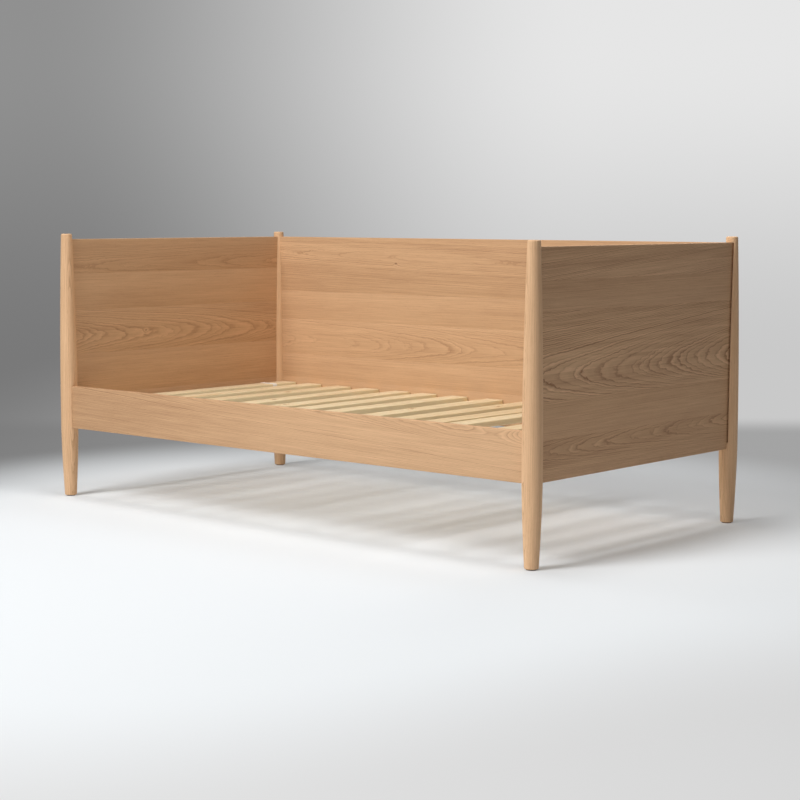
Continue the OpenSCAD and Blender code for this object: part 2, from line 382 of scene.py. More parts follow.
def ring_field(g):
    """Growth rings of a tapering, slightly crooked log, and what every wood needs of them."""
    along, across, away = g.parts(g.attribute("grain"))
    taper, ring_width, tone = g.parts(g.attribute("board"))
    knot_along, knot_across, knot_r = g.parts(g.attribute("knot"))
    # A knot pushes the rings round itself
    knot_reach = g.math("MAXIMUM", knot_r, 0.01 * MM)
    knot_distance = g.math(
        "SQRT",
        g.total(g.math("POWER", g.times(knot_along, KNOT_STRETCH), 2.0), g.math("POWER", knot_across, 2.0)),
    )
    knot_share = g.math("DIVIDE", knot_distance, knot_reach)
    nearness = g.math("EXPONENT", g.times(g.math("POWER", g.times(knot_share, KNOT_FALLOFF), 2.0), -1.0))
    knot_push = g.times(nearness, knot_r)
    radius = g.math("SQRT", g.total(g.math("POWER", across, 2.0), g.math("POWER", away, 2.0)))
    place = (along, across, away)
    slow = g.cycles(place, (1.8, 5.0, 5.0), 1.0)
    quick = g.cycles(place, (8.0, 26.0, 26.0))
    ragged = g.cycles(place, (45.0, 95.0, 95.0))
    radius = g.total(
        radius,
        g.times(g.times(taper, along), -1.0),
        g.swing(slow, 12 * MM),
        g.swing(quick, 3.2 * MM),
        g.swing(ragged, 2.2 * MM),
        g.times(knot_push, KNOT_PUSH),
    )
    phase = g.math("DIVIDE", radius, g.times(ring_width, MM))
    phase = g.total(phase, g.times(g.noise_line(g.times(phase, 0.31)), 1.8))
    return {
        "place": place, "tone": tone,
        "figure": g.parts(g.attribute("figure"))[0],
        "ring": g.math("FLOOR", phase), "share": g.math("FRACT", phase),
        "knot_share": knot_share, "has_knot": g.step(knot_r, 0.0, 0.5 * MM),
    }


def streaks(g, rings, per_along, per_across, detail=2.0):
    """Noise drawn out along the grain, with so many cycles a metre each way."""
    return g.cycles(rings["place"], (per_along, per_across, per_across), detail)


def oak(name, light, dark, roughness):
    """Ring-porous oak: a dark line of coarse pores starts each ring, and smooth late wood follows."""
    g = Graph(name)
    rings = ring_field(g)
    ring_tone = g.chance(rings["ring"])
    pore_band = g.times(
        g.step(rings["share"], 0.0, g.total(0.25, g.times(ring_tone, 0.3)), 1.0, 0.0),
        g.step(rings["share"], 0.0, 0.08),
    )
    late_band = g.times(g.step(rings["share"], 0.5, 0.85), g.step(rings["share"], 0.92, 1.0, 1.0, 0.0))
    pores = g.step(streaks(g, rings, 75.0, 1500.0, 1.0), 0.56, 0.68)
    pores = g.times(pores, g.total(0.25, g.times(pore_band, 0.75)))
    fibre = streaks(g, rings, 10.0, 520.0, 3.0)
    thread = streaks(g, rings, 4.0, 190.0, 2.0)
    cloud = streaks(g, rings, 1.3, 9.0, 3.0)
    band = streaks(g, rings, 0.9, 60.0, 2.0)
    figure = g.total(
        g.times(pore_band, g.total(0.16, g.times(ring_tone, 0.22))),
        g.times(late_band, g.total(-0.02, g.times(ring_tone, -0.16))),
        g.swing(thread, 0.35),
        g.swing(band, 0.3),
    )
    depth = g.total(
        g.times(figure, rings["figure"]),
        g.times(pores, 0.26),
        g.swing(fibre, 0.45),
        g.swing(cloud, 0.4),
        g.times(rings["tone"], 0.5),
        0.3,
    )
    colour = g.mix(g.clamp(depth), light, dark)
    knot = g.times(g.step(rings["knot_share"], 0.75, 1.5, 1.0, 0.0), rings["has_knot"])
    colour = g.mix(g.times(knot, 0.5), colour, linear(96, 62, 40))
    surface = g.total(roughness, g.times(pores, 0.15), g.times(fibre, 0.08))
    g.set(Base_Color=colour, Roughness=surface, Specular_IOR_Level=0.2)
    height = g.total(g.times(pores, -1.0), g.times(pore_band, -0.25), g.times(fibre, 0.3))
    g.bump(height, 0.12 * MM, 0.8)
    return g.material


def pine(name, light, late, roughness):
    """Pine: pale early wood that deepens to a narrow amber line at the end of each ring."""
    g = Graph(name)
    rings = ring_field(g)
    ring_tone = g.chance(rings["ring"])
    late_wood = g.times(
        g.step(rings["share"], 0.35, 0.93),
        g.step(rings["share"], 0.95, 1.0, 1.0, 0.0),
    )
    fibre = streaks(g, rings, 8.0, 600.0, 3.0)
    cloud = streaks(g, rings, 1.6, 11.0, 2.0)
    depth = g.total(
        g.times(late_wood, g.total(0.35, g.times(ring_tone, 0.5))),
        g.swing(fibre, 0.35),
        g.swing(cloud, 0.5),
        g.times(rings["tone"], 0.5),
        0.05,
    )
    colour = g.mix(g.clamp(depth), light, late)
    # Painted light: the sides of a slat, which face along the bed, are made paler than its top and bottom
    side = g.math("ABSOLUTE", g.parts(g.node("ShaderNodeTexCoord").outputs["Normal"])[0])
    colour = g.mix(g.times(side, 0.6), colour, linear(246, 231, 188))
    knot = g.times(g.step(rings["knot_share"], 0.8, 1.1, 1.0, 0.0), rings["has_knot"])
    halo = g.times(g.step(rings["knot_share"], 1.0, 2.6, 1.0, 0.0), rings["has_knot"])
    colour = g.mix(g.times(halo, 0.45), colour, linear(205, 150, 92))
    colour = g.mix(g.times(knot, 0.85), colour, linear(134, 84, 48))
    surface = g.total(roughness, g.times(fibre, 0.12))
    g.set(Base_Color=colour, Roughness=surface, Specular_IOR_Level=0.35)
    height = g.total(g.times(late_wood, 0.4), g.times(fibre, 0.7))
    g.bump(height, 0.12 * MM, 0.8)
    return g.material


OAK_PANEL = oak("oak_panel", linear(225, 184, 143), linear(150, 108, 74), 0.48)
OAK_POST = oak("oak_post", linear(239, 198, 156), linear(172, 126, 86), 0.46)
PINE = pine("pine", linear(227, 209, 173), linear(198, 158, 106), 0.55)


def plain_metal():
    """Bright zinc plate, with the faint streaks of drawing and tumbling."""
    g = Graph("zinc")
    place = g.object_place()
    scratches = g.cycles(place, (900.0, 2500.0, 2500.0), 3.0)
    blotch = g.cycles(place, (90.0, 90.0, 90.0))
    colour = g.mix(blotch, linear(168, 172, 178), linear(205, 207, 208))
    g.set(Base_Color=colour, Roughness=g.total(0.24, g.times(scratches, 0.2)), Metallic=1.0)
    g.bump(scratches, 0.02 * MM, 0.5)
    return g.material


def moulded_plastic():
    """Dark moulded plastic with a fine spark-eroded texture."""
    g = Graph("glide_plastic")
    speckle = g.cycles(g.object_place(), (1800.0, 1800.0, 1800.0))
    colour = g.mix(speckle, linear(70, 64, 58), linear(92, 85, 77))
    g.set(Base_Color=colour, Roughness=g.total(0.5, g.times(speckle, 0.2)))
    g.bump(speckle, 0.05 * MM, 0.6)
    return g.material


WARP_PITCH = 0.9 * MM
WEFT_PITCH = 1.3 * MM


def woven_ribbon():
    """Plain-woven polyester tape: warp yarns along the bed, weft across, and firm edges."""
    g = Graph("ribbon")
    x, y, _ = g.object_place()
    warp = g.math("SINE", g.times(y, 2 * math.pi / WARP_PITCH))
    weft = g.math("SINE", g.times(x, 2 * math.pi / WEFT_PITCH))
    weave = g.times(warp, weft)
    fuzz = g.noise(g.vector(g.times(x, 700.0), g.times(y, 2200.0), 0.0), 3.0)
    share = g.total(0.5, g.times(weave, 0.3), g.swing(fuzz, 0.5))
    colour = g.mix(share, linear(236, 231, 220), linear(252, 250, 245))
    g.set(Base_Color=colour, Roughness=g.total(0.72, g.times(fuzz, 0.15)), Sheen_Weight=0.25)
    g.bump(g.total(weave, g.times(fuzz, 0.4)), 0.15 * MM, 0.7)
    return g.material


def beech():
    """Pale beech of the dowels, with its short dark flecks."""
    g = Graph("beech")
    flecks = g.cycles(g.object_place(), (250.0, 250.0, 1400.0), 3.0)
    colour = g.mix(flecks, linear(196, 150, 108), linear(228, 190, 148))
    g.set(Base_Color=colour, Roughness=g.total(0.45, g.times(flecks, 0.15)))
    g.bump(flecks, 0.1 * MM, 0.5)
    return g.material


ZINC = plain_metal()
PLASTIC = moulded_plastic()
RIBBON = woven_ribbon()
BEECH = beech()


# ---------------------------------------------------------------- posts

TOP_R = 18 * MM
FOOT_R = 19.7 * MM
UPPER_CURVE = 1.9
LOWER_CURVE = 1.5
WAIST_BOTTOM, WAIST_TOP = 240 * MM, 300 * MM
POST_EDGE_R = 4.5 * MM
FOOT_EASE = 1.5 * MM
GROOVE_R = 10 * MM
GROOVE_REACH = 40 * MM
FIT = 0.3 * MM
SHADOW_GAP = 4.5 * MM
GAP_FLOOR = 6.5 * MM
SHADOW_START = PANEL_LOW + 20 * MM


def upper_r(z):
    """A post's radius above its waist."""
    return WAIST_R - (WAIST_R - TOP_R) * ((z - WAIST_TOP) / (POST_HIGH - WAIST_TOP)) ** UPPER_CURVE


def lower_r(z):
    """A post's radius below its waist."""
    return WAIST_R - (WAIST_R - FOOT_R) * ((WAIST_BOTTOM - z) / WAIST_BOTTOM) ** LOWER_CURVE


def post_outline(foot_steps=14, waist_steps=4, upper_steps=30, edge_steps=6):
    """A post's (radius, z) points, from the middle of its foot to the middle of its top."""
    outline = [(0, POST_LOW), (lower_r(POST_LOW) - FOOT_EASE, POST_LOW)]
    for step in range(foot_steps + 1):
        z = POST_LOW + FOOT_EASE + (WAIST_BOTTOM - POST_LOW - FOOT_EASE) * step / foot_steps
        outline.append((lower_r(z), z))
    for step in range(1, waist_steps):
        outline.append((WAIST_R, WAIST_BOTTOM + (WAIST_TOP - WAIST_BOTTOM) * step / waist_steps))
    edge_z = POST_HIGH - POST_EDGE_R
    for step in range(upper_steps + 1):
        z = WAIST_TOP + (edge_z - WAIST_TOP) * step / upper_steps
        outline.append((upper_r(z), z))
    for step in range(1, edge_steps + 1):
        turn = math.radians(90 * step / edge_steps)
        outline.append((upper_r(edge_z) - POST_EDGE_R * (1 - math.cos(turn)),
                        edge_z + POST_EDGE_R * math.sin(turn)))
    outline.append((0, POST_HIGH))
    return outline


def groove_cutters(side_x, side_y):
    """The two grooves of a post, and the shadow gap beside each panel's outer face."""
    x, y = side_x * POST_X, side_y * POST_Y
    half = BOARD_T / 2
    deep_x, wide_x = x - side_x * GROOVE_R, x - side_x * GROOVE_REACH
    deep_y, wide_y = y - side_y * GROOVE_R, y - side_y * GROOVE_REACH
    gap_x, gap_y = x - side_x * GAP_FLOOR, y - side_y * GAP_FLOOR
    high = PANEL_HIGH if side_y == BACK else RAIL_HIGH
    cutters = [
        box_cutter((x - half - FIT, deep_y, PANEL_LOW - FIT), (x + half + FIT, wide_y, PANEL_HIGH + FIT)),
        box_cutter((deep_x, y - half - FIT, PANEL_LOW - FIT), (wide_x, y + half + FIT, high + FIT)),
        box_cutter((x + side_x * (half - FIT), gap_y, SHADOW_START),
                   (x + side_x * (half + SHADOW_GAP), wide_y, PANEL_HIGH)),
    ]
    if side_y == BACK:
        cutters.append(box_cutter((gap_x, y + half - FIT, SHADOW_START),
                                  (wide_x, y + half + SHADOW_GAP, PANEL_HIGH)))
    return cutters


def make_posts():
    draw = random.Random(11)
    for node, (side_x, side_y) in POSTS.items():
        shape = bmesh.new()
        lathe(shape, post_outline(), (side_x * POST_X, side_y * POST_Y))
        piece = finished(node + "_turned", shape)
        cut_with(piece, groove_cutters(side_x, side_y))
        heading = draw.uniform(0, 2 * math.pi)
        pith = Vector((math.cos(heading), math.sin(heading))) * draw.uniform(0.05, 0.09)
        start = draw.uniform(0, 5)
        place = (side_x * POST_X, side_y * POST_Y)
        set_grain(
            piece,
            lambda at: (at.z + start, at.x - place[0] + pith.x, at.y - place[1] + pith.y),
            board=(draw.uniform(0.002, 0.006), draw.uniform(2.6, 3.4), draw.uniform(-0.1, 0.1)),
        )
        dress(piece, node, OAK_POST, "frame")


# ---------------------------------------------------------------- panels and rail

BOARD_EASE = 1.8 * MM
GLUE_LINE = 0.12 * MM

# The boards of each panel from the bottom up. Each is its top edge's height, then the pith's
# height at mid-length and its distance behind the face, the log's taper, the grain's slope, the
# ring width, the tone and the strength of the figure. Lengths are in millimetres. Arches point to
# the start of the board where the taper is above 0, and to its end where it is below.
# The right panel's tones are deeper partly as painted shade for its outer face, and partly the boards' own
# tone
RIGHT_BOARDS = (
    (345, 320, 45, 0.034, 0.015, 2.6, 0.30, 1.3),
    (450, 150, 90, 0.012, 0.005, 2.8, 0.10, 0.9),
    (690, 520, 140, 0.050, 0.010, 2.8, 0.10, 1.9),
    (774, 520, 60, 0.006, 0.015, 3.0, 0.14, 0.9),
    (None, 650, 70, 0.050, 0.040, 3.0, 0.22, 1.9),
)
LEFT_BOARDS = (
    (338, 520, 70, 0.006, -0.010, 2.6, 0.02, 0.5),
    (478, 620, 80, 0.010, 0.010, 2.8, 0.00, 0.6),
    (625, 536, 110, -0.040, 0.000, 2.6, 0.02, 0.8),
    (748, 420, 80, -0.010, 0.005, 2.8, -0.04, 0.5),
    (None, 775, 60, 0.012, 0.000, 2.8, 0.12, 0.6),
)
BACK_BOARDS = (
    (342, 520, 60, 0.006, 0.005, 2.8, 0.06, 0.5),
    (430, 560, 60, -0.010, -0.010, 2.8, 0.06, 0.6),
    (560, 482, 120, -0.030, 0.000, 2.8, 0.06, 0.8),
    (664, 400, 80, 0.004, 0.000, 2.8, 0.10, 0.5),
    (None, 789, 50, 0.008, -0.020, 3.0, 0.22, 1.1),
)
RAIL_BOARD = ((None, 385, 60, 0.034, -0.014, 3.0, 0.00, 0.9),)

# The knots, by panel and board from the bottom: place along the panel, height, radius. The rail's
# own is above its top edge, so that it only bends the grain.
KNOTS = {
    ("back_panel", 4): (-0.381, 774 * MM, 3 * MM),
    ("front_rail", 0): (0.86, 402 * MM, 14 * MM),
    ("left_end_panel", 2): (-0.166, 545 * MM, 2 * MM),
}


def make_boards(node, along, boards, seed):
    """One piece for each board of a panel, with its long edges eased and its own cut of the log."""
    draw = random.Random(seed)
    low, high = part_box(node)
    centre = (low + high) / 2
    across_axis = 1 if along == "x" else 0
    along_axis = 1 - across_axis
    z = low.z
    pieces = []
    for number, (top, pith_z, depth, taper, slope, ring, tone, figure) in enumerate(boards):
        board_high = high.z if top is None else top * MM
        lower_ease = BOARD_EASE if number == 0 else GLUE_LINE
        upper_ease = BOARD_EASE if top is None else GLUE_LINE
        section = rounded_section(
            (low[across_axis], z), (high[across_axis], board_high),
            (lower_ease, lower_ease, upper_ease, upper_ease),
        )
        shape = bmesh.new()
        prism(shape, section, along, low[along_axis], high[along_axis], cuts=12)
        name = f"{node}_board_{number + 1}" if len(boards) > 1 else node + "_board"
        piece = finished(name, shape)
        start = draw.uniform(2, 9)

        def log(at, start=start, pith=pith_z * MM, depth=depth * MM, slope=slope):
            length = at[along_axis] - centre[along_axis]
            across = at[across_axis] - centre[across_axis]
            return length + start, at.z - pith - slope * length, across + depth

        knot = KNOTS.get((node, number))
        if knot:
            place = Vector(centre)
            place[along_axis], place.z, radius = knot
            knot = (*log(place)[:2], radius)
        pieces.append((piece, log, (taper, ring, tone), figure, knot))
        z = board_high
    return pieces


def dress_boards(node, boards, painted_shade_left=0.0):
    """Gives each board of a panel its own grain, and the panel's finish."""
    for piece, log, board, figure, knot in boards:
        set_grain(piece, log, board, figure, knot, painted_shade_left)
        dress(piece, node, OAK_PANEL, "frame")


POCKET_R = 12 * MM
POCKET_X = POST_X - 60 * MM
POCKET_DEPTH = 15.5 * MM
BOLT_LOW_Z = PANEL_LOW + 22 * MM
BOLT_HIGH_Z = RAIL_HIGH - 26 * MM
BOLT_PLACES = [(side_x, FRONT, z) for side_x in (LEFT, RIGHT) for z in (BOLT_LOW_Z, BOLT_HIGH_Z)]
BOLT_PLACES += [(side_x, BACK, BOLT_LOW_Z) for side_x in (LEFT, RIGHT)]


def pocket_cutters(side_y):
    """Round pockets in the inner face of the rail or of the back panel's lowest board."""
    inner = side_y * (POST_Y - BOARD_T / 2)
    return [
        round_cutter((side_x * POCKET_X, inner - side_y * MM, z), POCKET_R, side_y * (POCKET_DEPTH + MM))
        for side_x, side, z in BOLT_PLACES if side == side_y
    ]


def make_panels():
    dress_boards("right_end_panel", make_boards("right_end_panel", "y", RIGHT_BOARDS, 21))
    dress_boards("left_end_panel", make_boards("left_end_panel", "y", LEFT_BOARDS, 22))
    back = make_boards("back_panel", "x", BACK_BOARDS, 23)
    cut_with(back[0][0], pocket_cutters(BACK))
    dress_boards("back_panel", back)
    rail = make_boards("front_rail", "x", RAIL_BOARD, 24)
    cut_with(rail[0][0], pocket_cutters(FRONT))
    # Painted shade: the rail's tone darkens towards its left end, where less light falls
    dress_boards("front_rail", rail, painted_shade_left=0.55)


# ---------------------------------------------------------------- slats and cleats

SLAT_EASE = 2 * MM
SLAT_CROWN = 0.8 * MM
CLEAT_EASE = 1.2 * MM


class Slat:
    """A slat's place in the CAD model, and its own slight upward bow."""

    def __init__(self, node, crown):
        corners = [vert.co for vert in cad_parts[node].data.vertices]
        low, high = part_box(node)
        self.x = (low.x + high.x) / 2
        ends = [self.mean_x(corners, edge) for edge in (low.y, high.y)]
        self.turn = math.atan2(ends[0] - ends[1], high.y - low.y)
        inside = [self.to_slat(at) for at in corners]
        self.half_width = max(at.x for at in inside)
        self.half_length = max(at.y for at in inside)
        self.crown = crown

    def mean_x(self, corners, edge, near=5 * MM):
        """The slat's middle at one of its ends."""
        xs = [at.x for at in corners if abs(at.y - edge) < near]
        return (min(xs) + max(xs)) / 2

    def to_slat(self, at):
        """A place in the bed, seen from the slat's own middle and heading."""
        return Matrix.Rotation(-self.turn, 3, "Z") @ Vector((at.x - self.x, at.y, at.z))

    def to_bed(self, at):
        """A place in the slat, turned and bowed into the bed."""
        share = at.y / self.half_length
        turned_at = Matrix.Rotation(self.turn, 3, "Z") @ at
        return turned_at + Vector((self.x, 0, self.crown * (1 - share * share)))

    def x_at(self, y):
        return self.x - y * math.tan(self.turn)

    def rise_at(self, y):
        return self.crown * (1 - (y / self.half_length) ** 2)


def place_slats():
    draw = random.Random(30)
    return {node: Slat(node, SLAT_CROWN * draw.random()) for node in SLATS}


def make_slats(slats):
    draw = random.Random(31)
    for number, (node, slat) in enumerate(slats.items()):
        low, high = (-slat.half_width, SLAT_LOW), (slat.half_width, SLAT_HIGH)
        section = rounded_section(low, high, (SLAT_EASE,) * 4)
        shape = bmesh.new()
        prism(shape, section, "y", -slat.half_length, slat.half_length, cuts=24, bend=slat.to_bed)
        piece = finished(node + "_planed", shape)
        start = draw.uniform(0, 9)
        pith = (draw.uniform(-0.05, 0.05), draw.uniform(0.012, 0.07))
        flip = draw.choice((-1, 1))
        board = (draw.uniform(-0.02, 0.02), draw.uniform(3.0, 5.0), draw.uniform(-0.25, 0.25))
        knot = None
        if number % 3 == 1 or draw.random() < 0.3:
            knot = (draw.uniform(-0.35, 0.35) + start, draw.uniform(-0.02, 0.02) - pith[0],
                    draw.uniform(3, 7) * MM)

        def log(at):
            inside = slat.to_slat(at)
            return flip * inside.y + start, inside.x - pith[0], inside.z - SLAT_LOW + pith[1]

        set_grain(piece, log, board, 1.0, knot)
        dress(piece, node, PINE, "slat_roll")


SCREW_COUNT = 9
SCREW_HEAD_R = 4 * MM
SCREW_R = 2 * MM
SCREW_SINK = 0.3 * MM
SCREW_HEAD_DEPTH = 2.5 * MM
SCREW_TIP = 4 * MM
COUNTERSINK_R = SCREW_HEAD_R + 0.6 * MM
COUNTERSINK_DEPTH = 3.2 * MM
CUT_START = 0.5 * MM
RECESS_HALF_LENGTH = 2.1 * MM
RECESS_HALF_WIDTH = 0.45 * MM
RECESS_DEPTH = 1.5 * MM


def screw_places(node):
    """Where each screw of a cleat goes in: the middle of its head, on the cleat's inner face."""
    low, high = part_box(node + "_screws")
    cleat_low, cleat_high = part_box(node)
    inner = cleat_high.y if cleat_high.y < 0 else cleat_low.y
    first, last = low.x + SCREW_HEAD_R, high.x - SCREW_HEAD_R
    z = (low.z + high.z) / 2
    return [Vector((first + (last - first) * k / (SCREW_COUNT - 1), inner, z)) for k in range(SCREW_COUNT)]


def turned(shape, outline, place, heading, sides=32):
    """Adds a turned form whose axis points along heading, from an outline of (radius, distance)."""
    made = bmesh.new()
    lathe(made, outline, (0, 0), sides)
    turn = Vector((0, 0, 1)).rotation_difference(Vector(heading)).to_matrix().to_4x4()
    turn.translation = place
    made.transform(turn)
    join(shape, made)


def join(shape, other):
    """Moves another shape's mesh into this one."""
    mesh = bpy.data.meshes.new("joined")
    other.to_mesh(mesh)
    other.free()
    shape.from_mesh(mesh)
    bpy.data.meshes.remove(mesh)


def make_cleats():
    draw = random.Random(41)
    for node, side_y in (("front_cleat", FRONT), ("back_cleat", BACK)):
        low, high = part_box(node)
        section = rounded_section((low.y, low.z), (high.y, high.z), (CLEAT_EASE,) * 4)
        shape = bmesh.new()
        prism(shape, section, "x", low.x, high.x, cuts=12)
        piece = finished(node + "_planed", shape)
        sinks = bmesh.new()
        outward = (0, side_y, 0)
        outline = [(0, 0), (COUNTERSINK_R, 0), (SCREW_R, COUNTERSINK_DEPTH), (0, COUNTERSINK_DEPTH)]
        for place in screw_places(node):
            turned(sinks, outline, place - Vector(outward) * CUT_START, outward)
        cut_with(piece, [finished("cutter", sinks)])
        start, pith = draw.uniform(0, 9), draw.uniform(-0.02, 0.02)
        middle_y, middle_z = (low.y + high.y) / 2, (low.z + high.z) / 2
        set_grain(
            piece,
            lambda at: (at.x + start, at.z - middle_z - pith, at.y - middle_y + 0.03),
            board=(0.004, 3.6, 0.15),
        )
        dress(piece, node, PINE, "frame")
        make_screws(node, side_y)


def make_screws(cleat, side_y):
    """Countersunk screws with a cross recess."""
    shape = bmesh.new()
    recesses = bmesh.new()
    outward = Vector((0, side_y, 0))
    low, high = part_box(cleat + "_screws")
    length = high.y - low.y
    outline = [(0, 0), (SCREW_HEAD_R - 0.25 * MM, 0), (SCREW_HEAD_R, 0.2 * MM), (SCREW_HEAD_R, 0.45 * MM),
               (SCREW_R, SCREW_HEAD_DEPTH), (SCREW_R, length - SCREW_TIP), (0.3 * MM, length), (0, length)]
    for place in screw_places(cleat):
        head = place + outward * SCREW_SINK
        turned(shape, outline, head, outward)
        bars = ((RECESS_HALF_LENGTH, RECESS_HALF_WIDTH), (RECESS_HALF_WIDTH, RECESS_HALF_LENGTH))
        for half_x, half_z in bars:
            bar = bmesh.new()
            bmesh.ops.create_cube(bar, size=2)
            for vert in bar.verts:
                vert.co = head + Vector((vert.co.x * half_x, vert.co.y * RECESS_DEPTH, vert.co.z * half_z))
            join(recesses, bar)
    piece = finished(cleat + "_screws_cut", shape)
    cut_with(piece, [finished("cutter", recesses)])
    dress(piece, cleat + "_screws", ZINC, "frame")


# ---------------------------------------------------------------- ribbons and staples

RIBBON_HALF = half_size("front_webbing").y
RIBBON_T = 1.2 * MM
RIBBON_DROP = 14.5 * MM
RIBBON_SAG = 0.045
DROP_STEPS = 4
SAG_STEPS = 8
TOP_STEPS = 8
STAPLE_HALF = 6 * MM
STAPLE_LEG = 7 * MM
STAPLE_WIRE = 1.2 * MM
STAPLE_FLAT = 0.7 * MM
STAPLE_BEND = 1 * MM


def arc(centre, radius, start, end, steps=5):
    """Points of (x, z) on an arc, from one angle in degrees to another."""
    angles = [math.radians(start + (end - start) * step / steps) for step in range(steps + 1)]
    return [(centre[0] + radius * math.cos(a), centre[1] + radius * math.sin(a)) for a in angles]


def sweep(shape, path, section, y):
    """Sweeps a closed section of (across, outwards) along a path of (x, z).

    Outwards is the right-hand side of the path's direction, seen from the front.
    """
    rings = []
    for k, (x, z) in enumerate(path):
        before, after = path[max(k - 1, 0)], path[min(k + 1, len(path) - 1)]
        ahead = Vector((after[0] - before[0], after[1] - before[1])).normalized()
        rings.append([shape.verts.new((x + ahead.y * out, y + across, z - ahead.x * out))
                      for across, out in section])
    skin(shape, rings)


def ribbon_wrap(slat, y, side):
    """The ribbon's path round an outer slat, from its loose end on the inner side to the lower edge."""
    ease = SLAT_EASE
    middle_x = slat.x_at(y)
    inner, outer = (middle_x - away * side * (slat.half_width - ease) for away in (1, -1))
    rise = slat.rise_at(y)
    low, high = SLAT_LOW + rise + ease, SLAT_HIGH + rise - ease
    turns = (0, 90, 180, 270) if side == LEFT else (180, 90, 0, -90)
    path = [(inner - side * ease, high + ease - RIBBON_DROP * (1 - step / DROP_STEPS))
            for step in range(DROP_STEPS)]
    path += arc((inner, high), ease, turns[0], turns[1])
    path += [(inner + (outer - inner) * step / TOP_STEPS, high + ease) for step in range(1, TOP_STEPS)]
    path += arc((outer, high), ease, turns[1], turns[2])
    path += arc((outer, low), ease, turns[2], turns[3])
    return path


def ribbon_path(slats, y):
    """Under all the slats, sagging a little between them, and wrapped round both outer slats."""
    row = list(slats.values())
    path = ribbon_wrap(row[0], y, LEFT)
    for slat, after in zip(row, row[1:]):
        start = slat.x_at(y) + slat.half_width - SLAT_EASE
        end = after.x_at(y) - after.half_width + SLAT_EASE
        first_z, last_z = SLAT_LOW + slat.rise_at(y), SLAT_LOW + after.rise_at(y)
        sag = RIBBON_SAG * (end - start)
        for step in range(SAG_STEPS + 1):
            share = step / SAG_STEPS
            z = first_z + (last_z - first_z) * share - sag * 4 * share * (1 - share)
            path.append((start + (end - start) * share, z))
    return path + list(reversed(ribbon_wrap(row[-1], y, RIGHT)))


def make_ribbons(slats):
    for node in ("front_webbing", "back_webbing"):
        y = middle(node).y
        section = rounded_section((-RIBBON_HALF, 0), (RIBBON_HALF, RIBBON_T), (0.5 * MM,) * 4, steps=3)
        shape = bmesh.new()
        sweep(shape, ribbon_path(slats, y), section, y)
        piece = finished(node + "_woven", shape, 60)
        dress(piece, node, RIBBON, "slat_roll")


def staple_path(x, z, side):
    """From one leg's point over the crown to the other. The crown is above z where side is 1."""
    bend = STAPLE_BEND
    point = z - side * STAPLE_LEG
    start = [(x - STAPLE_HALF, point), (x - STAPLE_HALF, z - side * bend)]
    first = arc((x - STAPLE_HALF + bend, z - side * bend), bend, 180, 180 - side * 90)[1:]
    last = arc((x + STAPLE_HALF - bend, z - side * bend), bend, side * 90, 0)
    return start + first + last + [(x + STAPLE_HALF, point)]


def make_staples(slats):
    half = STAPLE_FLAT / 2
    section = rounded_section((-STAPLE_WIRE / 2, -half), (STAPLE_WIRE / 2, half), (0.2 * MM,) * 4, steps=2)
    shape = bmesh.new()
    for node in ("front_webbing", "back_webbing"):
        y = middle(node).y
        for number, slat in enumerate(slats.values()):
            rise = slat.rise_at(y)
            below = SLAT_LOW + rise - RIBBON_T - half * 0.6
            sweep(shape, staple_path(slat.x_at(y), below, -1), section, y)
            if number in (0, len(slats) - 1):
                above = SLAT_HIGH + rise + RIBBON_T + half * 0.6
                sweep(shape, staple_path(slat.x_at(y), above, 1), section, y)
    piece = finished("webbing_staples_wire", shape)
    dress(piece, "webbing_staples", ZINC, "slat_roll")


# ---------------------------------------------------------------- bolts and carried-over CAD parts

THREAD_R = 3 * MM
THREAD_DEPTH = 0.4 * MM
THREAD_PITCH = 1 * MM
BOLT_OUTER_X = half_size("hanger_bolts").x
BOLT_INNER_X = POST_X - 66 * MM


def threaded_outline(length):
    """Outline of a threaded rod: one ridge a pitch, with a chamfer at the free end."""
    outline = [(0, 0), (THREAD_R - THREAD_DEPTH, 0)]
    for ridge in range(int(length / THREAD_PITCH)):
        start = ridge * THREAD_PITCH
        outline.append((THREAD_R - THREAD_DEPTH, start + 0.15 * THREAD_PITCH))
        outline.append((THREAD_R, start + 0.45 * THREAD_PITCH))
        outline.append((THREAD_R, start + 0.60 * THREAD_PITCH))
    outline.append((THREAD_R - THREAD_DEPTH, length))
    outline.append((0, length))
    return outline


def make_bolts():
    shape = bmesh.new()
    outline = threaded_outline(BOLT_OUTER_X - BOLT_INNER_X)
    for side_x, side_y, z in BOLT_PLACES:
        start = Vector((side_x * BOLT_OUTER_X, side_y * POST_Y, z))
        turned(shape, outline, start, (-side_x, 0, 0), sides=24)
    piece = finished("hanger_bolts_threaded", shape, 25)
    dress(piece, "hanger_bolts", ZINC, "frame")


def keep(node, material, bevel=0.0):
    """Gives a carried-over CAD part its finish, and softens its edges."""
    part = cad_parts[node]
    part.data.materials.clear()
    part.data.materials.append(material)
    if bevel:
        soft = part.modifiers.new("soft_edges", "BEVEL")
        soft.width = bevel
        soft.segments = 2
        soft.limit_method = "ANGLE"
        soft.angle_limit = math.radians(40)


def keep_cad_parts():
    for node in ("left_end_dowels", "right_end_dowels", "back_panel_dowels", "front_rail_dowels"):
        keep(node, BEECH, 0.5 * MM)
    keep("saddle_washers", ZINC, 0.3 * MM)
    keep("bolt_nuts", ZINC, 0.4 * MM)
    keep("glide_nails", ZINC, 0.2 * MM)
    keep("floor_glides", PLASTIC, 0.3 * MM)


# ---------------------------------------------------------------- studio

CAMERA_AT = (3.868, -4.342, 0.951)
CAMERA_TURN = math.radians(41.19)
CAMERA_DOWN = math.radians(5.875)
CAMERA_ROLL = math.radians(0.065)
LENS = 81.62

FLOOR_R = 4.0
FADE_WIDTH = 0.9
FLOOR_GLOW = 0.12
WALL_R = 8.6
SWEEP_R = 2.0
WALL_TOP = 7.5
BLACK = (0, 0, 0, 1)


